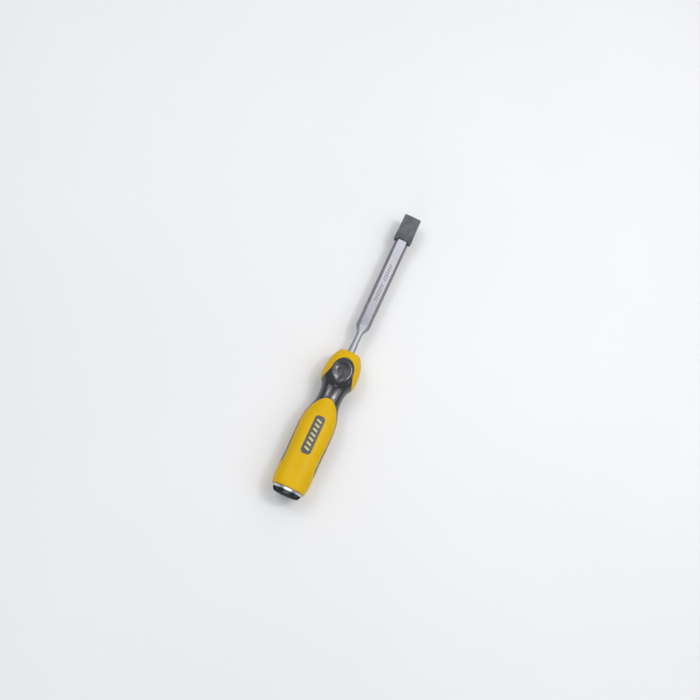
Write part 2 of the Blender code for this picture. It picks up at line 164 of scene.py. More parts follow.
def softened(values, spacing, softness):
    """Rounds off small kinks in an evenly sampled curve."""
    reach = int(4 * softness / spacing)
    offsets = np.arange(-reach, reach + 1) * spacing
    weights = np.exp(-0.5 * (offsets / softness) ** 2)
    padded = np.pad(values, reach, mode="reflect", reflect_type="odd")
    return np.convolve(padded, weights / weights.sum(), mode="valid")


def handle_profile(column):
    """Half width or half height of the handle, sampled finely along the tool."""
    at = np.arange(HANDLE_END, HANDLE_FRONT + PROFILE_STEP / 2, PROFILE_STEP)
    body = hermite_curve(HANDLE_STATIONS, column, at)
    reach = np.clip((at - COLLAR) / COLLAR_NOSE, 0.0, 1.0)
    nose = HANDLE_STATIONS[-1][column] * (1.0 - reach**COLLAR_NOSE_POWER) ** (1.0 / COLLAR_NOSE_POWER)
    return at, softened(np.where(at > COLLAR, nose, body), PROFILE_STEP, PROFILE_SOFTNESS)


PROFILE_AT, HALF_WIDTHS = handle_profile(1)
PROFILE_AT, HALF_HEIGHTS = handle_profile(2)


def round_section(angle, half_width, half_height, power=BODY_POWER):
    """Superellipse point at an angle round the axis."""
    cosine, sine = np.cos(angle), np.sin(angle)
    across = half_width * np.sign(cosine) * np.abs(cosine) ** (2 / power)
    up = half_height * np.sign(sine) * np.abs(sine) ** (2 / power)
    return across, up


def crest_relief(station, across):
    """Height of the thumb rest's egg-shaped crest and dish over the plain panel."""
    ahead = station > DISH_CENTRE
    length = np.where(ahead, CREST_FRONT_LENGTH, CREST_REAR_LENGTH)
    power = np.where(ahead, 2.0, CREST_REAR_POWER)
    reach = np.abs((station - DISH_CENTRE) / length) ** power + np.abs(across / CREST_HALF_WIDTH) ** power
    ring = reach ** (1.0 / power)
    outside = CREST_HEIGHT * np.exp(-(((ring - 1.0) / CREST_SPREAD) ** 2))
    wall = smooth_share((ring - DISH_WALL_START) / DISH_WALL_SPAN)
    bowl = BOWL_DEPTH * np.clip(1.0 - (ring / BOWL_SHARE) ** 2, 0.0, 1.0)
    inside = CREST_HEIGHT - DISH_DEPTH * (1.0 - wall) - bowl
    return np.where(ring > 1.0, outside, inside)


def smooth_share(value):
    """Eases a share of the way from 0 to 1, level at both ends."""
    share = np.clip(value, 0.0, 1.0)
    return share * share * (3.0 - 2.0 * share)


# ---- sheets of polygons over the handle, cut along the lines where the mouldings meet ----


def body_point(points):
    """Points on the handle's outside for (station, angle) pairs."""
    station, angle = points[:, 0], points[:, 1]
    half_width = np.interp(station, PROFILE_AT, HALF_WIDTHS)
    half_height = np.interp(station, PROFILE_AT, HALF_HEIGHTS)
    across, up = round_section(angle, half_width, half_height)
    return np.stack([station, across, up], axis=-1)


def body_normal(points):
    """Outward unit normals of the handle's outside."""
    nudge_station = np.array([0.05, 0.0])
    nudge_angle = np.array([0.0, 0.004])
    along = body_point(points + nudge_station) - body_point(points - nudge_station)
    around = body_point(points + nudge_angle) - body_point(points - nudge_angle)
    normal = np.cross(around, along)
    return normal / np.linalg.norm(normal, axis=1, keepdims=True)


def outline_distance(places, outline):
    """Signed distance in the plane from a closed outline, positive inside, and its direction."""
    start = outline
    edge = np.roll(outline, -1, axis=0) - start
    length = np.maximum((edge**2).sum(1), 1e-12)
    distance = np.empty(len(places))
    direction = np.empty((len(places), 2))
    for low in range(0, len(places), PLACES_AT_A_TIME):
        chunk = slice(low, low + PLACES_AT_A_TIME)
        part = places[chunk]
        gap = part[:, None, :] - start[None]
        share = np.clip((gap * edge[None]).sum(2) / length, 0.0, 1.0)
        away = gap - share[..., None] * edge[None]
        squared = (away**2).sum(2)
        nearest = squared.argmin(1)
        rows = np.arange(len(part))
        distance[chunk] = np.sqrt(squared[rows, nearest])
        direction[chunk] = away[rows, nearest]
    inside = points_inside(places, outline)
    sign = np.where(inside, 1.0, -1.0)
    unit = direction / np.maximum(distance, 1e-9)[:, None]
    return distance * sign, unit * sign[:, None]


def points_inside(places, outline):
    """Even-odd test of points against a closed outline."""
    inside = np.zeros(len(places), bool)
    x, y = places[:, 0], places[:, 1]
    for (ax, ay), (bx, by) in zip(outline, np.roll(outline, -1, axis=0)):
        if ay == by:
            continue
        crosses = (ay > y) != (by > y)
        inside ^= crosses & (x < (bx - ax) * (y - ay) / (by - ay) + ax)
    return inside


def along_surface(distance, direction, normal):
    """Turns a distance measured from above into one measured along the surface."""
    lean = (direction * normal[:, :2]).sum(1)
    return distance / np.sqrt(np.maximum(1.0 - lean**2, 0.04))


def mirrored_outline(upper_side):
    """Closes a half outline with its mirror image across the tool's middle."""
    lower_side = [(station, -across) for station, across in reversed(upper_side) if across > 0.0]
    return np.array(list(upper_side) + lower_side)


def front_outline():
    """Arched front of the soft grip, wide open behind the collar's horns, down to the strips' ends."""
    centre = PANEL_FRONT - PANEL_ARCH_LENGTH
    points = []
    for angle in np.radians(np.linspace(0.0, 90.0, 31)):
        station = centre + PANEL_ARCH_LENGTH * math.cos(angle) ** (2 / PANEL_ARCH_POWER)
        across = PANEL_ARCH_HALF_WIDTH * math.sin(angle) ** (2 / PANEL_ARCH_POWER)
        points.append((station, across))
    for step in np.linspace(0.5, PANEL_FLARE_LENGTH, 32):
        across = PANEL_ARCH_HALF_WIDTH + PANEL_FLARE * step**2 / (step + PANEL_FLARE_LEAD_IN)
        points.append((centre - step, across))
    widest = max(row[1] for row in HANDLE_STATIONS)
    inside = PALM_REAR_HALF_WIDTH - STRIP_INSET
    inner_end = STRIP_END + (widest - inside) * STRIP_END_SLANT
    points.append((centre - PANEL_FLARE_LENGTH - 1.0, widest + OUTLINE_MARGIN))
    points.append((STRIP_END - STRIP_END_SLANT, widest + OUTLINE_MARGIN))
    points.append((STRIP_END - STRIP_END_SLANT, widest + 1.0))
    points.append((inner_end, inside))
    points.append((inner_end, 0.0))
    return mirrored_outline(points)


def palm_outline():
    """Long palm panel with an arched front, running back past the end of the side strips."""
    centre = PALM_FRONT - PALM_ARCH_LENGTH
    points = []
    for angle in np.radians(np.linspace(0.0, 90.0, 41)):
        station = centre + PALM_ARCH_LENGTH * abs(math.cos(angle)) ** (2 / PALM_ARCH_POWER)
        across = PALM_HALF_WIDTH * math.sin(angle) ** (2 / PALM_ARCH_POWER)
        points.append((station, across))
    for share in np.linspace(0.05, 1.0, 20):
        across = PALM_HALF_WIDTH + (PALM_REAR_HALF_WIDTH - PALM_HALF_WIDTH) * smooth_share(share)
        points.append((centre + (PALM_REAR - centre) * share, across))
    points.append((STRIP_END - PALM_OVERRUN, PALM_REAR_HALF_WIDTH))
    points.append((STRIP_END - PALM_OVERRUN, 0.0))
    return mirrored_outline(points)


def label_outline():
    """Elongated octagon of the inlaid plate."""
    rear, front = station_of(LABEL_LOW.x) - LABEL_GAP, station_of(LABEL_HIGH.x) + LABEL_GAP
    half = LABEL_HIGH.y / MM + LABEL_GAP
    cut = LABEL_CORNER_CUT
    return np.array([
        (front, -half + cut), (front, half - cut), (front - cut, half), (rear + cut, half),
        (rear, half - cut), (rear, -half + cut), (rear + cut, -half), (front - cut, -half),
    ])


FRONT_OUTLINE = front_outline()
PALM_OUTLINE = palm_outline()
LABEL_OUTLINE = label_outline()


def rounded_minimum(a, b, corner):
    """The lesser of two distances, with their meeting corner rounded."""
    blend = np.clip(0.5 + 0.5 * (b - a) / corner, 0.0, 1.0)
    return b + (a - b) * blend - corner * blend * (1.0 - blend)


def grip_measure(points):
    """Distance inside the soft grip's edge, negative outside it."""
    flat = body_point(points)[:, :2]
    normal = body_normal(points)
    front = along_surface(*outline_distance(flat, FRONT_OUTLINE), normal)
    palm = along_surface(*outline_distance(flat, PALM_OUTLINE), normal)
    return rounded_minimum(front, -palm, OUTLINE_CORNER)


def label_measure(points):
    """Distance inside the label plate's edge, negative outside it."""
    flat = body_point(points)[:, :2]
    return along_surface(*outline_distance(flat, LABEL_OUTLINE), body_normal(points))


def core_measure(points):
    """Distance inside what shows of the hard core."""
    return -np.maximum(grip_measure(points), label_measure(points))


def lifted(sheet, lift):
    """World points of a sheet, moved out along the handle's normals."""
    moved = body_normal(sheet.points) * np.reshape(lift, (-1, 1))
    return place(*(body_point(sheet.points) + moved).T)


class Sheet:
    """Polygons over the handle, kept as (station, angle) points, that can be cut along a measure's levels."""

    def __init__(self, stations, angles, closed, measure):
        rows, columns = len(stations), len(angles)
        grid = np.stack(np.meshgrid(stations, angles, indexing="ij"), axis=-1)
        self.points = grid.reshape(-1, 2)
        self.measure = measure
        self.values = measure(self.points)
        self.polygons = []
        for i in range(rows - 1):
            for j in range(columns if closed else columns - 1):
                k = (j + 1) % columns
                a, b = i * columns, (i + 1) * columns
                self.polygons.append((a + j, b + j, b + k, a + k))

    def mixed(self, above):
        """The polygons with points on both sides."""
        width = max(len(polygon) for polygon in self.polygons)
        padded = np.array([polygon + (polygon[-1],) * (width - len(polygon)) for polygon in self.polygons])
        signs = above[padded]
        return np.nonzero(signs.any(1) & ~signs.all(1))[0]

    def cut(self, level):
        """Splits every polygon that the line where the measure has this level crosses."""
        above = self.values > level
        crossed = self.mixed(above)
        edges = {}
        for k in crossed:
            polygon = self.polygons[k]
            for a, b in zip(polygon, polygon[1:] + polygon[:1]):
                if above[a] != above[b]:
                    edges.setdefault((min(a, b), max(a, b)), len(edges))
        if not edges:
            return
        ends = np.array(list(edges))
        base = len(self.points)
        self.points = np.vstack([self.points, self.crossings(level, ends)])
        self.values = np.concatenate([self.values, np.full(len(ends), level)])
        for k in crossed:
            polygon = self.polygons[k]
            high, low = [], []
            for a, b in zip(polygon, polygon[1:] + polygon[:1]):
                (high if above[a] else low).append(a)
                if above[a] != above[b]:
                    middle = base + edges[(min(a, b), max(a, b))]
                    high.append(middle)
                    low.append(middle)
            self.polygons[k] = tuple(high)
            self.polygons.append(tuple(low))

    def cut_levels(self, levels, scale):
        for level in levels:
            self.cut(level * scale)

    def crossings(self, level, ends):
        """Where each edge meets the line, by false position."""
        start, stop = self.points[ends[:, 0]].copy(), self.points[ends[:, 1]].copy()
        turn = stop[:, 1] - start[:, 1]
        stop[:, 1] -= np.round(turn / math.tau) * math.tau
        low, high = self.values[ends[:, 0]] - level, self.values[ends[:, 1]] - level
        for _ in range(4):
            share = low / (low - high)
            middle = start + share[:, None] * (stop - start)
            value = self.measure(middle) - level
            same = (value > 0.0) == (low > 0.0)
            start[same], low[same] = middle[same], value[same]
            stop[~same], high[~same] = middle[~same], value[~same]
        return middle

    def inside(self):
        """The polygons where the measure is positive."""
        return [polygon for polygon in self.polygons if sum(self.values[i] for i in polygon) > 1e-9]


def rounded_drop(distance, radius):
    """How far a rounded edge falls away, by distance from the edge."""
    share = np.clip(1.0 - distance / radius, 0.0, 1.0)
    return radius * (1.0 - np.sqrt(np.maximum(1.0 - share**2, 0.0)))


# ---- mesh and object helpers ----


def add_object(name, data):
    item = bpy.data.objects.new(name, data)
    bpy.context.scene.collection.objects.link(item)
    return item


def even_faces(item):
    """Lets the large flat faces lead the shading across smooth edges."""
    item.modifiers.new("even_faces", "WEIGHTED_NORMAL").keep_sharp = True


def make_piece(name, points, polygons, body, materials, replaced=(), smooth_degrees=35.0):
    """A mesh object in the frame's own place that rides on a body."""
    used = sorted({i for polygon in polygons for i in polygon})
    number = {old: new for new, old in enumerate(used)}
    mesh = bpy.data.meshes.new(name)
    mesh.from_pydata([tuple(points[i]) for i in used], [], [[number[i] for i in p] for p in polygons])
    mesh.validate()
    mesh.shade_smooth()
    mesh.set_sharp_from_angle(angle=math.radians(smooth_degrees))
    item = add_object(name, mesh)
    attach(item, body)
    if replaced:
        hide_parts(*replaced)
    for material in materials:
        mesh.materials.append(material)
    return item


def capped_loft(rows, flip_walls, flip_ends):
    """Points, walls and flat ends of a stack of equal rows of world points."""
    points = np.concatenate(rows)
    count = len(rows[0])
    walls = []
    for i in range(len(rows) - 1):
        for j in range(count):
            k = (j + 1) % count
            walls.append((i * count + j, (i + 1) * count + j, (i + 1) * count + k, i * count + k))
    ends = [tuple(range(count)), tuple(reversed(range(len(points) - count, len(points))))]
    if flip_walls:
        walls = [polygon[::-1] for polygon in walls]
    if flip_ends:
        ends = [polygon[::-1] for polygon in ends]
    return points, walls + ends


def thickened(points, polygons, lowered):
    """Closes a patch with a wall round its open edge and the lowered copy of its polygons."""
    seen = {}
    for polygon in polygons:
        for a, b in zip(polygon, polygon[1:] + polygon[:1]):
            seen[(a, b)] = (b, a) not in seen
            if (b, a) in seen:
                seen[(b, a)] = False
    base = len(points)
    walls = [(b, a, base + a, base + b) for (a, b), open_edge in seen.items() if open_edge]
    floor = [tuple(base + i for i in reversed(polygon)) for polygon in polygons]
    return np.vstack([points, lowered]), polygons + walls + floor


# ---- materials ----


class Recipe:
    """A Principled material whose nodes are added one call at a time."""

    def __init__(self, name, colour, roughness, metallic=0.0):
        self.material = bpy.data.materials.new(name)
        self.material.use_nodes = True
        self.tree = self.material.node_tree
        self.shader = self.tree.nodes["Principled BSDF"]
        self.set(self.shader, {"Base Color": (*colour, 1.0), "Roughness": roughness, "Metallic": metallic})
        self.place = self.add("ShaderNodeTexCoord").outputs["Object"]

    def set(self, node, inputs):
        for key, value in inputs.items():
            socket = node.inputs[key]
            if isinstance(value, bpy.types.NodeSocket):
                self.tree.links.new(value, socket)
            else:
                socket.default_value = value

    def add(self, kind, inputs=None, **settings):
        node = self.tree.nodes.new(kind)
        for key, value in settings.items():
            setattr(node, key, value)
        self.set(node, inputs or {})
        return node

    def math(self, operation, a, b=0.0):
        return self.add("ShaderNodeMath", {0: a, 1: b}, operation=operation).outputs[0]

    def noise(self, scale, detail=3.0, stretch=(1.0, 1.0, 1.0), roughness=0.5):
        """Noise over the object's own place, in features per metre."""
        moved = self.add("ShaderNodeMapping", {"Vector": self.place, "Scale": stretch}).outputs[0]
        return self.add(
            "ShaderNodeTexNoise",
            {"Vector": moved, "Scale": scale, "Detail": detail, "Roughness": roughness},
        ).outputs["Fac"]

    def between(self, value, low=0.0, high=1.0, from_low=0.3, from_high=0.7):
        return self.add(
            "ShaderNodeMapRange",
            {"Value": value, "From Min": from_low, "From Max": from_high, "To Min": low, "To Max": high},
        ).outputs["Result"]

    def mix(self, share, first, second):
        node = self.add("ShaderNodeMix", data_type="RGBA")
        self.set(node, {0: share, 6: first, 7: second})
        return node.outputs[2]

    def shaded(self, value, colour, dark, light):
        """The colour, made darker or lighter as the value says."""
        return self.mix(self.between(value), rgba(colour, dark), rgba(colour, light))

    def bump(self, height, distance, strength=1.0, under=None):
        inputs = {"Height": height, "Distance": distance, "Strength": strength}
        if under is not None:
            inputs["Normal"] = under
        return self.add("ShaderNodeBump", inputs).outputs["Normal"]

    def finish(self, **inputs):
        self.set(self.shader, {key.replace("_", " "): value for key, value in inputs.items()})
        return self.material


def rgba(colour, factor=1.0):
    """A colour made lighter or darker, with full alpha."""
    return tuple(channel * factor for channel in colour) + (1.0,)


def yellow_plastic():
    colour = (0.69, 0.42, 0.002)
    recipe = Recipe("yellow_plastic", colour, 0.4)
    cloud = recipe.noise(70.0)
    grain = recipe.noise(2600.0, detail=2.0)
    ripple = recipe.noise(330.0, detail=2.0)
    tint = recipe.shaded(cloud, colour, 0.96, 1.04)
    scuff = recipe.between(recipe.noise(900.0, detail=4.0, stretch=(0.15, 1.0, 1.0)), 0.0, 1.0, 0.62, 0.72)
    gloss = recipe.math("ADD", recipe.between(cloud, 0.34, 0.41), recipe.math("MULTIPLY", scuff, 0.1))
    fine = recipe.bump(grain, 0.00001, 0.6)
    relief = recipe.bump(ripple, 0.00002, 0.5, under=fine)
    return recipe.finish(
        Base_Color=tint, Roughness=gloss, Normal=relief, Specular_IOR_Level=0.16,
        Subsurface_Weight=0.04, Subsurface_Radius=(0.002, 0.001, 0.0004),
    )


def black_rubber():
    colour = (0.016, 0.017, 0.02)
    recipe = Recipe("black_rubber", colour, 0.27)
    cloud = recipe.noise(120.0)
    grain = recipe.noise(3800.0, detail=2.0)
    dust = recipe.between(recipe.noise(520.0, detail=5.0, roughness=0.7), 0.0, 1.0, 0.6, 0.85)
    tint = recipe.mix(recipe.math("MULTIPLY", dust, 0.35), rgba(colour), rgba((0.05, 0.052, 0.056)))
    return recipe.finish(
        Base_Color=tint, Roughness=recipe.between(cloud, 0.2, 0.27), Normal=recipe.bump(grain, 0.000006, 0.6),
        Specular_IOR_Level=1.0, Sheen_Weight=0.08, Sheen_Roughness=0.4,
    )


def ground_steel(name, colour, roughness, stretch, depth):
    """Steel with grinding lines: the stretch says which way they run."""
    recipe = Recipe(name, colour, roughness, 1.0)
    lines = recipe.noise(4200.0, detail=3.0, stretch=stretch, roughness=0.65)
    broad = recipe.noise(700.0, detail=2.0, stretch=stretch)
    stain = recipe.noise(60.0, detail=3.0)
    shade = recipe.shaded(stain, colour, 0.93, 1.03)
    tint = recipe.mix(recipe.between(broad, 0.0, 0.35), shade, rgba(colour, 0.8))
    gloss = recipe.between(lines, roughness - 0.05, roughness + 0.08)
    return recipe.finish(Base_Color=tint, Roughness=gloss, Normal=recipe.bump(lines, depth, 0.8))


def polished_steel(name, colour, edge_tint):
    """Turned and polished steel with fine rings about the tool's axis and a few dents."""
    recipe = Recipe(name, colour, 0.15, 1.0)
    offset = recipe.add(
        "ShaderNodeVectorMath", {0: recipe.place, 1: (0.0, 0.0, AXIS_Z)}, operation="SUBTRACT"
    )
    apart = recipe.add("ShaderNodeSeparateXYZ", {0: offset.outputs[0]})
    across, up = apart.outputs[1], apart.outputs[2]
    across_squared = recipe.math("MULTIPLY", across, across)
    up_squared = recipe.math("MULTIPLY", up, up)
    radius = recipe.math("SQRT", recipe.math("ADD", across_squared, up_squared))
    turned = recipe.add("ShaderNodeCombineXYZ", {0: radius, 1: 0.0, 2: apart.outputs[0]}).outputs[0]
    rings = recipe.add(
        "ShaderNodeTexNoise", {"Vector": turned, "Scale": 5200.0, "Detail": 2.0}
    ).outputs["Fac"]
    dents = recipe.between(recipe.noise(420.0, detail=2.0), 0.0, 1.0, 0.62, 0.8)
    gloss = recipe.math("ADD", recipe.between(rings, 0.18, 0.28), recipe.math("MULTIPLY", dents, 0.12))
    marks = recipe.bump(rings, 0.000004, 0.8)
    relief = recipe.bump(dents, 0.00001, 0.5, under=marks)
    return recipe.finish(Roughness=gloss, Normal=relief, Specular_Tint=rgba(edge_tint))


def guard_plastic(name, colour):
    recipe = Recipe(name, colour, 0.5)
    cloud = recipe.noise(200.0, detail=4.0)
    grain = recipe.noise(3000.0, detail=2.0)
    tint = recipe.shaded(cloud, colour, 0.74, 1.3)
    return recipe.finish(
        Base_Color=tint, Roughness=recipe.between(cloud, 0.42, 0.55), Normal=recipe.bump(grain, 0.00003, 0.7),
        Subsurface_Weight=0.15, Subsurface_Radius=(0.0015, 0.0015, 0.002),
    )


def label_plastic():
    colour = (0.075, 0.078, 0.088)
    recipe = Recipe("label_plastic", colour, 0.45)
    grain = recipe.noise(3400.0, detail=2.0)
    cloud = recipe.noise(300.0)
    tint = recipe.shaded(cloud, colour, 0.9, 1.1)
    return recipe.finish(
        Base_Color=tint, Roughness=recipe.between(cloud, 0.38, 0.5), Normal=recipe.bump(grain, 0.00002, 0.7)
    )


def label_ink():
    colour = (0.62, 0.56, 0.2)
    recipe = Recipe("label_ink", colour, 0.4)
    wear = recipe.noise(900.0, detail=4.0)
    tint = recipe.shaded(wear, colour, 0.8, 1.1)
    return recipe.finish(Base_Color=tint, Roughness=recipe.between(wear, 0.35, 0.5))


def etched_steel():
    colour = (0.22, 0.18, 0.18)
    recipe = Recipe("etched_steel", colour, 0.6)
    speckle = recipe.noise(2500.0, detail=3.0)
    tint = recipe.shaded(speckle, colour, 0.7, 1.5)
    return recipe.finish(Base_Color=tint, Roughness=recipe.between(speckle, 0.5, 0.7))


# ---- handle pieces ----

GRID_STEP = 0.45
TURNS = 208
SEAM_LEVELS = (1.0, 0.62, 0.3, 0.1, 0.0)
SHEET_START = HANDLE_END + EDGE_ROUND_BUTT
SHEET_END = HANDLE_FRONT - EDGE_ROUND_FRONT
SHEET_ROWS = round((SHEET_END - SHEET_START) / GRID_STEP) + 1
HOLE_CHAMFER = 0.25
CAP_SEAT_RADIUS = 9.3
CAP_SEAT_DEPTH = 6.0
NECK_HOLE_RADIUS = 3.45
NECK_HOLE_DEPTH = 5.0
CREST_FACING = 0.35
CREST_FACING_SPAN = 0.3
CREST_EDGE_FADE = 1.6


def handle_sheet(measure):
    """Sheet right round the handle between its rounded ends."""
    stations = np.linspace(SHEET_START, SHEET_END, SHEET_ROWS)
    angles = np.arange(TURNS) * math.tau / TURNS
    return Sheet(stations, angles, True, measure)


def end_rows(edge_station, inward, edge_round, hole_radius, hole_depth):
    """Rows that round the handle's edge over and close its end down to a hole."""
    angles = np.arange(TURNS) * math.tau / TURNS
    start = edge_station + inward * edge_round
    half_width = np.interp(start, PROFILE_AT, HALF_WIDTHS)
    half_height = np.interp(start, PROFILE_AT, HALF_HEIGHTS)
    rows = []
    for turn in np.radians(np.linspace(15.0, 90.0, 6)):
        station = start - inward * edge_round * math.sin(turn)
        inset = edge_round * (1.0 - math.cos(turn))
        across, up = round_section(angles, half_width - inset, half_height - inset)
        rows.append(place(station, across, up))
    flat_across, flat_up = across, up
    circle_across = (hole_radius + HOLE_CHAMFER) * np.cos(angles)
    circle_up = (hole_radius + HOLE_CHAMFER) * np.sin(angles)
    for share in (0.25, 0.5, 0.75, 1.0):
        across = flat_across + (circle_across - flat_across) * share
        up = flat_up + (circle_up - flat_up) * share
        rows.append(place(edge_station, across, up))
    hole_across, hole_up = hole_radius * np.cos(angles), hole_radius * np.sin(angles)
    for depth in (HOLE_CHAMFER, hole_depth):
        rows.append(place(edge_station + inward * depth, hole_across, hole_up))
    return rows


def make_handle_core(material):
    """The hard core: its whole outside, lowered where the grip and the labels cover it."""
    sheet = handle_sheet(core_measure)
    sheet.cut_levels(SEAM_LEVELS, CORE_EDGE_ROUND)
    sheet.cut(-GROOVE_WIDTH)
    distance = sheet.values
    drop = rounded_drop(distance, CORE_EDGE_ROUND)
    covered = smooth_share(-distance / GROOVE_WIDTH)
    drop = drop + covered * (GROOVE_DEPTH - drop)
    points = lifted(sheet, -drop)
    polygons = list(sheet.polygons)
    butt = end_rows(HANDLE_END, 1.0, EDGE_ROUND_BUTT, CAP_SEAT_RADIUS, CAP_SEAT_DEPTH)
    front = end_rows(HANDLE_FRONT, -1.0, EDGE_ROUND_FRONT, NECK_HOLE_RADIUS, NECK_HOLE_DEPTH)
    first_row = list(range(TURNS))
    last_row = [j + (SHEET_ROWS - 1) * TURNS for j in range(TURNS)]
    for edge, ring_rows, flip in ((first_row, butt, True), (last_row, front, False)):
        previous = edge
        for row in ring_rows:
            base = len(points)
            points = np.vstack([points, row])
            current = [base + j for j in range(TURNS)]
            for j in range(TURNS):
                k = (j + 1) % TURNS
                quad = (previous[j], current[j], current[k], previous[k])
                polygons.append(quad[::-1] if flip else quad)
            previous = current
        polygons.append(tuple(previous[::-1] if flip else previous))
    name = "handle_core_moulding"
    make_piece(name, points, polygons, "chisel", [material], ["handle_core"])


def make_grip(material):
    """The soft grip's outside with rolled edges, its thumb rests, and a wall down into the seam."""
    sheet = handle_sheet(grip_measure)
    sheet.cut_levels(SEAM_LEVELS, GRIP_EDGE_ROUND)
    station, across, _ = body_point(sheet.points).T
    upright = np.abs(body_normal(sheet.points)[:, 2])
    facing = smooth_share((upright - CREST_FACING) / CREST_FACING_SPAN)
    fade = smooth_share(sheet.values / CREST_EDGE_FADE)
    lift = crest_relief(station, across) * (facing * fade) - rounded_drop(sheet.values, GRIP_EDGE_ROUND)
    points, polygons = thickened(lifted(sheet, lift), sheet.inside(), lifted(sheet, -WALL_DEPTH))
    make_piece("grip_moulding", points, polygons, "chisel", [material], ["grip_overmould"])


LABEL_SINK = 0.15
LABEL_EDGE_ROUND = 0.25
LABEL_STEP = 0.3
LABEL_MARGIN = 0.6
LABEL_HALF_ANGLE = 0.36


def label_sheet(side):
    """Fine sheet over the palm around one label."""
    ends = LABEL_OUTLINE[:, 0]
    stations = np.arange(ends.min() - LABEL_MARGIN, ends.max() + LABEL_MARGIN, LABEL_STEP)
    angles = math.pi / 2 * side + np.linspace(-LABEL_HALF_ANGLE, LABEL_HALF_ANGLE, 36)
    return Sheet(stations, angles, False, label_measure)


def make_label(name, side, node, material):
    """One inlaid plate, a little below the palm."""
    sheet = label_sheet(side)
    sheet.cut_levels(SEAM_LEVELS, LABEL_EDGE_ROUND)
    drop = rounded_drop(sheet.values, LABEL_EDGE_ROUND) + LABEL_SINK
    points, polygons = thickened(lifted(sheet, -drop), sheet.inside(), lifted(sheet, -WALL_DEPTH))
    make_piece(name, points, polygons, "chisel", [material], [node])


BAR_COUNT = 7
BAR_WIDTH = 1.7
BAR_PITCH = 3.9
BAR_HALF_HEIGHT = 2.1
BAR_SLANT = 0.35
BAR_RISE = 0.14
BAR_CLIP = 0.3
BAR_EDGE_ROUND = 0.1
BAR_ROOT = 0.1
BAR_MARGIN = 0.1
BAR_HALF_ANGLE = 0.2
BAR_LEVELS = (0.12, 0.04, 0.0)


def bar_outline(centre):
    """One slanted bar with clipped corners."""
    half, slant = BAR_WIDTH / 2, BAR_SLANT * BAR_HALF_HEIGHT
    tip, clip = BAR_HALF_HEIGHT, BAR_CLIP
    return np.array([
        (centre - half - slant, -tip + clip), (centre - half - slant + clip, -tip),
        (centre + half - slant, -tip), (centre + half + slant, tip - clip),
        (centre + half + slant - clip, tip), (centre - half + slant, tip),
    ])


def make_label_bars(name, side, material):
    """Row of generic raised bars on a label plate."""
    middle = LABEL_OUTLINE[:, 0].mean()
    all_points, all_polygons = np.zeros((0, 3)), []
    for k in range(BAR_COUNT):
        outline = bar_outline(middle + (k - (BAR_COUNT - 1) / 2) * BAR_PITCH)

        def bar_measure(points):
            return outline_distance(body_point(points)[:, :2], outline)[0]

        low, high = outline.min(0), outline.max(0)
        stations = np.linspace(low[0] - BAR_MARGIN, high[0] + BAR_MARGIN, 14)
        angles = math.pi / 2 * side + np.linspace(-BAR_HALF_ANGLE, BAR_HALF_ANGLE, 26)
        sheet = Sheet(stations, angles, False, bar_measure)
        sheet.cut_levels(BAR_LEVELS, 1.0)
        lift = BAR_RISE - LABEL_SINK - rounded_drop(sheet.values, BAR_EDGE_ROUND)
        foot = lifted(sheet, -(LABEL_SINK + BAR_ROOT))
        points, polygons = thickened(lifted(sheet, lift), sheet.inside(), foot)
        base = len(all_points)
        all_points = np.vstack([all_points, points])
        all_polygons += [tuple(base + i for i in polygon) for polygon in polygons]
    make_piece(name, all_points, all_polygons, "chisel", [material])


# ---- strike cap ----

CAP_RADIUS = (CAP_HIGH.z - CAP_LOW.z) / 2 / MM
CAP_TURNS = 128
CAP_SHOULDER = (
    (0.0, 0.0), (0.0, 6.0), (0.06, 8.4), (0.2, 9.4),
    (0.5, 10.1), (1.0, 10.55), (1.8, 11.0), (2.7, 11.5),
    (3.4, 11.95), (4.0, 12.45), (4.5, 12.85), (4.75, CAP_RADIUS - 0.03),
)
CAP_RIM_STATION = 5.1
CAP_BAND_START = 3.1
CAP_STEM_RADIUS = 9.0
CAP_STEM_END = 10.9
CAP_CENTRE_RADIUS = 0.02


def cap_profile():
    """Station and radius from the face's centre over the shoulder to the rim and back under it."""
    steps = [math.dist(a, b) for a, b in zip(CAP_SHOULDER, CAP_SHOULDER[1:])]
    lengths = np.concatenate([[0.0], np.cumsum(steps)])
    rows = [(length, *point) for length, point in zip(lengths, CAP_SHOULDER)]
    at = np.concatenate([[0.0], np.linspace(1.0, lengths[-1], 60)])
    points = list(zip(hermite_curve(rows, 1, at), hermite_curve(rows, 2, at)))
    points += [(CAP_RIM_STATION - 0.22, CAP_RADIUS), (CAP_RIM_STATION - 0.1, CAP_RADIUS - 0.02)]
    points += [(CAP_RIM_STATION, CAP_RADIUS - 0.12), (CAP_RIM_STATION, CAP_STEM_RADIUS)]
    points.append((CAP_STEM_END, CAP_STEM_RADIUS))
    return points


def make_strike_cap(rim_material, dark_reflection_material):
    """The cap turned about the tool's axis, with its face and shoulder in a near-black greenish steel that is
    a painted dark reflection.
    """
    angles = np.arange(CAP_TURNS) * math.tau / CAP_TURNS
    rows = []
    for station, radius in cap_profile():
        radius = max(radius, CAP_CENTRE_RADIUS)
        rows.append(place(station, radius * np.cos(angles), radius * np.sin(angles)))
    points, polygons = capped_loft(rows, False, False)
    item = make_piece(
        "strike_cap_disc", points, polygons, "chisel",
        [rim_material, dark_reflection_material], ["strike_cap"], 50.0,
    )
    for polygon in item.data.polygons:
        polygon.material_index = int(station_of(polygon.center.x) < CAP_BAND_START)


# ---- blade ----

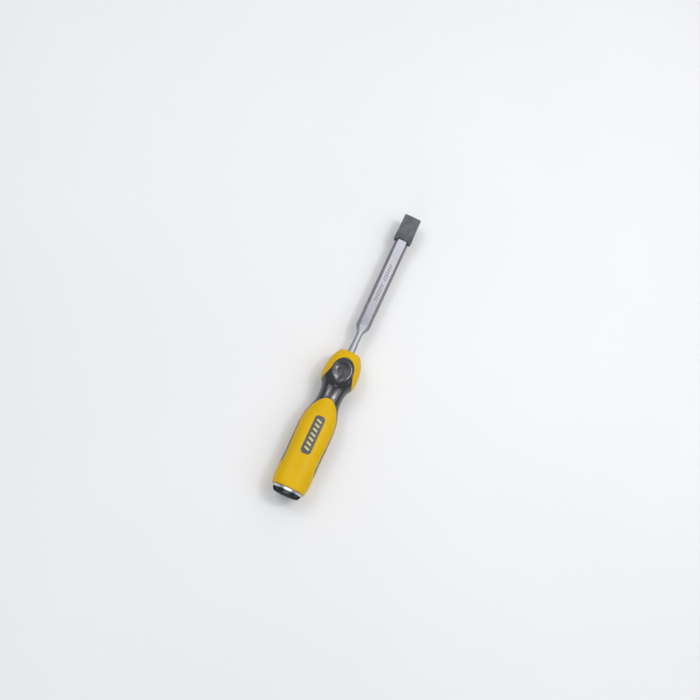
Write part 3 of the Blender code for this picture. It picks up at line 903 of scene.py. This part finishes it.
BLADE_HALF_WIDTH = BLADE_HIGH.y / MM
BLADE_FLAT_HALF_WIDTH = 3.2
TIP_FLAT_HALF_WIDTH = 3.85
BLADE_SIDE_LAND = 1.5
BLADE_THICK = 4.2
TIP_THICK = 3.1
BLADE_BACK = -2.1
GRINDING_ANGLE = math.radians(25.0)
NECK_SLIM = 144.9
SHOULDER = 153.7
NECK_SLIM_RADIUS = 2.65
NECK_ROOT_RADIUS = 3.2
NECK_CORNER = 0.8
BLADE_CORNER = 0.14
TAPER_END = CUTTING_EDGE - 9.0
CORNER_STEPS = 4
TANG_START = 118.0
BACK_EDGE_BREAK = 0.12
EDGE_LAND = 0.08
EDGE_LAND_DROP = 0.03
EDGE_LAND_SHARE = 0.985
FORGED_MARGIN = 1.5
LEANING = 0.05


def rounded_corners(corners, radii):
    """Points of a closed outline whose corners are rounded."""
    count = len(corners)
    points = []
    for i in range(count):
        before, here, after = (np.array(corners[(i + k) % count]) for k in (-1, 0, 1))
        to_before, to_after = before - here, after - here
        reach = min(radii[i], 0.45 * np.linalg.norm(to_before), 0.45 * np.linalg.norm(to_after))
        start = here + to_before / max(np.linalg.norm(to_before), 1e-9) * reach
        end = here + to_after / max(np.linalg.norm(to_after), 1e-9) * reach
        for share in np.linspace(0.0, 1.0, CORNER_STEPS):
            points.append((1 - share) ** 2 * start + 2 * share * (1 - share) * here + share**2 * end)
    return np.array(points)


def blade_corners(half_width, back, side_low, side_high, flat_half_width, top):
    """The eight corners of a blade or neck section."""
    back_half = half_width - (side_low - back)
    return [
        (back_half, back), (half_width, side_low), (half_width, side_high), (flat_half_width, top),
        (-flat_half_width, top), (-half_width, side_high), (-half_width, side_low), (-back_half, back),
    ]


def neck_sizes(radius):
    """Section sizes of the faceted neck."""
    flat = radius * math.tan(math.pi / 8)
    return np.array([radius, -radius, -flat, flat, flat * 0.75, radius])


def blade_thickness(station):
    """The blade thins evenly from its shoulder to where the grinding starts."""
    return BLADE_THICK + (TIP_THICK - BLADE_THICK) * (station - SHOULDER) / (TAPER_END - SHOULDER)


def blade_sizes(thick):
    """Section sizes where the blade has this thickness: the flat widens as the blade thins."""
    thinned = (BLADE_THICK - thick) / (BLADE_THICK - TIP_THICK)
    flat_half_width = BLADE_FLAT_HALF_WIDTH + (TIP_FLAT_HALF_WIDTH - BLADE_FLAT_HALF_WIDTH) * thinned
    return np.array([
        BLADE_HALF_WIDTH, BLADE_BACK, BLADE_BACK + BACK_EDGE_BREAK, BLADE_BACK + BLADE_SIDE_LAND,
        flat_half_width, BLADE_BACK + thick,
    ])


def blade_row(station, sizes, corner):
    outline = rounded_corners(blade_corners(*sizes), [corner] * 8)
    return place(station, outline[:, 0], outline[:, 1])


def make_blade(flat_material, shaded_bevel_material, neck_material):
    """The forging from inside the handle over neck and shoulders to the ground edge."""
    rows = []
    for station in np.concatenate([[TANG_START], np.linspace(HANDLE_FRONT - 1.0, NECK_SLIM, 24)]):
        ease = float(smooth_share((station - HANDLE_FRONT) / (NECK_SLIM - HANDLE_FRONT)))
        radius = NECK_ROOT_RADIUS + (NECK_SLIM_RADIUS - NECK_ROOT_RADIUS) * ease
        rows.append(blade_row(station, neck_sizes(radius), NECK_CORNER))
    for share in np.linspace(0.0, 1.0, 26)[1:]:
        ease = float(smooth_share(share))
        sizes = neck_sizes(NECK_SLIM_RADIUS) * (1 - ease) + blade_sizes(BLADE_THICK) * ease
        corner = NECK_CORNER + (BLADE_CORNER - NECK_CORNER) * ease
        rows.append(blade_row(NECK_SLIM + (SHOULDER - NECK_SLIM) * share, sizes, corner))
    for share in np.linspace(0.0, 1.0, 12)[1:-1]:
        station = SHOULDER + (TAPER_END - SHOULDER) * share
        rows.append(blade_row(station, blade_sizes(blade_thickness(station)), BLADE_CORNER))
    outline = rounded_corners(blade_corners(*blade_sizes(TIP_THICK)), [BLADE_CORNER] * 8)
    laid_back = (outline[:, 1] - BLADE_BACK) / math.tan(GRINDING_ANGLE)
    rows.append(place(CUTTING_EDGE - laid_back - EDGE_LAND, outline[:, 0], outline[:, 1]))
    inset = outline * np.array([EDGE_LAND_SHARE, 1.0])
    laid_back = (inset[:, 1] - BLADE_BACK) / math.tan(GRINDING_ANGLE)
    dropped = np.maximum(inset[:, 1] - EDGE_LAND_DROP, BLADE_BACK)
    rows.append(place(CUTTING_EDGE - laid_back, inset[:, 0], dropped))
    points, polygons = capped_loft(rows, True, True)
    materials = [flat_material, shaded_bevel_material, neck_material]
    item = make_piece("blade_forging", points, polygons, "chisel", materials, ["blade"], 60.0)
    # Faces that lean sideways (bevels, side lands and rounded edges) take the darker bevel steel, which is
    # painted shade.
    for polygon in item.data.polygons:
        station = station_of(polygon.center.x)
        leaning = abs(polygon.normal.y) > LEANING
        polygon.material_index = 2 if station < SHOULDER - FORGED_MARGIN else int(leaning)
    even_faces(item)


MARK_GROUPS = ((179.0, 4, 0.3), (188.8, 3, 0.45), (199.0, 7, 0.45))
MARK_HALF_HEIGHT = 1.5
MARK_WIDTH = 0.95
MARK_PITCH = 2.4
MARK_RISE = 0.02
MARK_DEPTH = 0.1


def make_blade_marks(material):
    """Thin closed plates, sunk into the blade's flat, for the etched dashes along it."""
    points, polygons = [], []
    corners = ((-1, -0.5), (-1, 0.5), (1, 0.5), (1, -0.5))
    for start, count, slant in MARK_GROUPS:
        for k in range(count):
            centre = start + k * MARK_PITCH
            top = BLADE_BACK + blade_thickness(centre) + MARK_RISE
            base = len(points)
            for height in (top, top - MARK_DEPTH):
                for side, end in corners:
                    station = centre + side * slant * MARK_HALF_HEIGHT + end * MARK_WIDTH
                    points.append(place(station, side * MARK_HALF_HEIGHT, height))
            under = base + 4
            polygons.append((base, base + 1, base + 2, base + 3))
            polygons.append((under + 3, under + 2, under + 1, under))
            for j in range(4):
                following = (j + 1) % 4
                polygons.append((under + j, under + following, base + following, base + j))
    make_piece("blade_marks", np.array(points), polygons, "chisel", [material])


# ---- blade guard ----

GUARD_HALF_WIDTH = 7.55
GUARD_LIP_HALF_WIDTH = GUARD_HIGH.y / MM
GUARD_LIP_LENGTH = 6.8
GUARD_TOP = 2.4
GUARD_BOTTOM = -3.3
GUARD_LIP_RISE = 0.15
GUARD_CORNER = 0.9
GUARD_NOTCH_LENGTH = 1.25
GUARD_NOTCH_HALF_WIDTH = 4.5
GUARD_NOTCH_FLARE = 2.0
GUARD_NOTCH_CORNER = 1.6
POCKET_THICK = 3.35
POCKET_GAP = 0.12
GUARD_MERGE_DISTANCE = 0.00006
GUARD_SHARP_DEGREES = 38.0


def guard_row(station, half_width, low, high, corner):
    corners = [(half_width, low), (half_width, high), (-half_width, high), (-half_width, low)]
    outline = rounded_corners(corners, [corner] * 4)
    return place(station, outline[:, 0], outline[:, 1])


def closed_solid(name, rows):
    """Object from a stack of rows with flat ends."""
    points, polygons = capped_loft(rows, True, False)
    mesh = bpy.data.meshes.new(name)
    mesh.from_pydata([tuple(point) for point in points], [], polygons)
    return add_object(name, mesh)


def apply_modifiers(item):
    """Bakes an object's modifiers into its mesh."""
    bpy.context.view_layer.update()
    graph = bpy.context.evaluated_depsgraph_get()
    mesh = bpy.data.meshes.new_from_object(item.evaluated_get(graph))
    item.modifiers.clear()
    item.data = mesh


def merge_close_points(item, distance):
    """Merges points that the cuts left almost on top of each other."""
    mesh = bmesh.new()
    mesh.from_mesh(item.data)
    bmesh.ops.remove_doubles(mesh, verts=mesh.verts, dist=distance)
    bmesh.ops.dissolve_degenerate(mesh, dist=distance, edges=mesh.edges)
    mesh.to_mesh(item.data)
    mesh.free()


def make_blade_guard(body_material, lip_material):
    """Sleeve with a flared lip at its mouth, rounded ears and a shallow notch over the blade's flat."""
    lip_end = GUARD_MOUTH + GUARD_LIP_LENGTH
    rise, gap = GUARD_LIP_RISE, POCKET_GAP
    sections = [
        (GUARD_MOUTH, GUARD_LIP_HALF_WIDTH - 1.05, rise - 0.5),
        (GUARD_MOUTH + 0.12, GUARD_LIP_HALF_WIDTH - 0.7, rise - 0.25),
        (GUARD_MOUTH + 0.35, GUARD_LIP_HALF_WIDTH - 0.45, rise - 0.08),
        (GUARD_MOUTH + 0.8, GUARD_LIP_HALF_WIDTH - 0.28, rise),
        (GUARD_MOUTH + 1.8, GUARD_LIP_HALF_WIDTH - 0.02, rise),
        (lip_end - 1.0, GUARD_LIP_HALF_WIDTH - 0.06, rise),
        (lip_end - 0.6, GUARD_LIP_HALF_WIDTH - 0.16, rise * 0.8),
        (lip_end - 0.2, GUARD_HALF_WIDTH + 0.08, rise * 0.2),
        (lip_end, GUARD_HALF_WIDTH + 0.05, 0.0),
        (GUARD_TIP - 1.0, GUARD_HALF_WIDTH, 0.0),
        (GUARD_TIP - 0.4, GUARD_HALF_WIDTH - 0.1, -0.1),
        (GUARD_TIP - 0.1, GUARD_HALF_WIDTH - 0.35, -0.35),
        (GUARD_TIP, GUARD_HALF_WIDTH - 0.7, -0.7),
    ]
    rows = [guard_row(x, half, GUARD_BOTTOM - r, GUARD_TOP + r, GUARD_CORNER) for x, half, r in sections]
    item = closed_solid("guard_sleeve", rows)
    half_width, back, side_low, side_high, flat, top = blade_sizes(POCKET_THICK)
    pocket_corners = blade_corners(
        half_width + gap, back - gap, side_low - gap, side_high + gap, flat + gap, top + gap
    )
    pocket_outline = rounded_corners(pocket_corners, [0.3] * 8)
    pocket_rows = []
    for station, grow in ((GUARD_MOUTH - 1.0, 0.25), (GUARD_MOUTH + 0.6, 0.0), (CUTTING_EDGE + 0.25, 0.0)):
        size = 1.0 + grow / 6.0
        pocket_rows.append(place(station, pocket_outline[:, 0] * size, pocket_outline[:, 1] * size))
    pocket = closed_solid("guard_pocket", pocket_rows)
    end = GUARD_MOUTH + GUARD_NOTCH_LENGTH
    notch_rows = []
    for height, flare in ((0.6, 0.0), (BLADE_BACK + POCKET_THICK, 0.0), (GUARD_TOP + 2.0, GUARD_NOTCH_FLARE)):
        half, reach = GUARD_NOTCH_HALF_WIDTH + flare / 2, end + flare
        start = GUARD_MOUTH - 2.0
        notch_corners = [(start, -half), (reach, -half), (reach, half), (start, half)]
        outline = rounded_corners(notch_corners, [0.1, GUARD_NOTCH_CORNER, GUARD_NOTCH_CORNER, 0.1])
        notch_rows.append(place(outline[:, 0], outline[:, 1], height))
    notch = closed_solid("guard_notch", notch_rows)
    for tool in (pocket, notch):
        cut = item.modifiers.new(tool.name, "BOOLEAN")
        cut.object = tool
        cut.operation = "DIFFERENCE"
        cut.solver = "EXACT"
    apply_modifiers(item)
    for tool in (pocket, notch):
        bpy.data.objects.remove(tool)
    merge_close_points(item, GUARD_MERGE_DISTANCE)
    item.data.materials.clear()
    for material in (body_material, lip_material):
        item.data.materials.append(material)
    for polygon in item.data.polygons:
        polygon.material_index = int(station_of(polygon.center.x) < lip_end)
    item.data.shade_smooth()
    item.data.set_sharp_from_angle(angle=math.radians(GUARD_SHARP_DEGREES))
    even_faces(item)
    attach(item, "guard")
    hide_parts("blade_guard")


# ---- stage ----

CAMERA_STATION = 129.3
CAMERA_SIDE = 1.57
CAMERA_DISTANCE = 610.0
CAMERA_TILT = math.radians(17.66)
CAMERA_ROLL = math.radians(24.85)
CAMERA_LENS = 37.9


def make_camera():
    """Looks down on the tool from over its handle end, with the tool turned in its view."""
    target = Vector(place(CAMERA_STATION, CAMERA_SIDE, 0.0))
    back = Vector((-math.sin(CAMERA_TILT), 0.0, math.cos(CAMERA_TILT)))
    along = Vector((math.cos(CAMERA_TILT), 0.0, math.sin(CAMERA_TILT)))
    side = along.cross(back)
    up = along * math.cos(CAMERA_ROLL) - side * math.sin(CAMERA_ROLL)
    right = side * math.cos(CAMERA_ROLL) + along * math.sin(CAMERA_ROLL)
    data = bpy.data.cameras.new("camera")
    data.lens = CAMERA_LENS
    data.sensor_width = 36.0
    data.clip_start = 0.01
    data.clip_end = 20.0
    camera = add_object("camera", data)
    turn = Matrix((right, up, back)).transposed().to_4x4()
    camera.matrix_world = Matrix.Translation(target + back * CAMERA_DISTANCE * MM) @ turn
    bpy.context.scene.camera = camera


def make_softbox(name, direction, distance, size, power, colour=(1.0, 1.0, 1.0)):
    """Square area light that faces the tool's middle."""
    data = bpy.data.lights.new(name, "AREA")
    data.shape = "SQUARE"
    data.size = size
    data.energy = power
    data.color = colour
    light = add_object(name, data)
    aim = Vector(direction).normalized()
    light.location = Vector((0.0, 0.0, AXIS_Z)) + aim * distance
    light.rotation_mode = "QUATERNION"
    light.rotation_quaternion = aim.to_track_quat("Z", "Y")


# Name, direction from the tool, distance, side length in metres and power. The key stands on the tool's
# -Y side, the ground flat mirrors the blade's box, the cap mirrors the butt's, and the kickers draw the
# thin highlights.
SOFTBOXES = (
    ("key_softbox", (0.2, -0.74, 1.0), 1.3, 1.1, 5.8),
    ("fill_softbox", (0.1, 0.62, 1.0), 1.3, 0.9, 4.0),
    ("blade_softbox", (0.91, 0.0, 1.0), 1.3, 0.86, 2.1),
    ("butt_softbox", (-0.94, 0.0, 0.34), 1.2, 0.78, 3.2),
    ("centre_kicker", (0.3, -0.2, 1.0), 1.2, 0.14, 0.9),
    ("right_kicker", (0.3, -0.48, 1.0), 1.2, 0.2, 2.4),
    ("left_kicker", (0.25, 0.6, 1.0), 1.2, 0.22, 1.2),
)


def make_stage():
    """Pale floor, dim sky and the softboxes."""
    recipe = Recipe("floor_paint", (0.8, 0.8, 0.8), 0.7)
    cloud = recipe.noise(3.0)
    tint = recipe.mix(recipe.between(cloud, 0.0, 1.0), rgba((0.8, 0.8, 0.8)), rgba((0.83, 0.83, 0.83)))
    material = recipe.finish(Base_Color=tint)
    half = 4.0
    mesh = bpy.data.meshes.new("floor")
    corners = [(-half, -half, 0.0), (half, -half, 0.0), (half, half, 0.0), (-half, half, 0.0)]
    mesh.from_pydata(corners, [], [(0, 1, 2, 3)])
    mesh.materials.append(material)
    floor = add_object("floor", mesh)
    world = bpy.data.worlds.new("studio")
    world.use_nodes = True
    sky = world.node_tree.nodes["Background"].inputs
    sky["Color"].default_value = (0.9, 0.93, 1.0, 1.0)
    sky["Strength"].default_value = 0.3
    bpy.context.scene.world = world
    bpy.context.scene.view_settings.view_transform = "Standard"
    for softbox in SOFTBOXES:
        make_softbox(*softbox)


def main():
    make_handle_core(yellow_plastic())
    make_grip(black_rubber())
    plate, ink = label_plastic(), label_ink()
    for place_name, side in (("top", 1), ("bottom", -1)):
        make_label(f"label_plate_{place_name}", side, f"label_inlay_{place_name}", plate)
        make_label_bars(f"label_bars_{place_name}", side, ink)
    rim = polished_steel("rim_steel", (0.56, 0.57, 0.58), (0.8, 0.8, 0.8))
    # The face steel's near-black greenish colour and edge tint are a painted dark reflection on the cap's
    # polished face and shoulder.
    face = polished_steel("face_steel_painted_reflection", (0.06, 0.074, 0.072), (0.12, 0.15, 0.15))
    make_strike_cap(rim, face)
    flat = ground_steel("ground_flat", (0.54, 0.54, 0.595), 0.2, (0.02, 1.0, 1.0), 0.000003)
    # The bevel steel is a darker copy of the flat's steel. Its darker colour is painted shade on the side
    # bevels; its coarser crosswise grind is real.
    bevel = ground_steel("ground_bevel_painted_shade", (0.42, 0.41, 0.43), 0.36, (1.0, 0.05, 0.05), 0.000006)
    neck = ground_steel("forged_neck", (0.42, 0.435, 0.465), 0.5, (0.3, 1.0, 1.0), 0.000003)
    make_blade(flat, bevel, neck)
    make_blade_marks(etched_steel())
    guard = guard_plastic("guard_plastic", (0.095, 0.1, 0.118))
    make_blade_guard(guard, guard_plastic("guard_lip_plastic", (0.066, 0.071, 0.085)))
    make_camera()
    make_stage()


main()
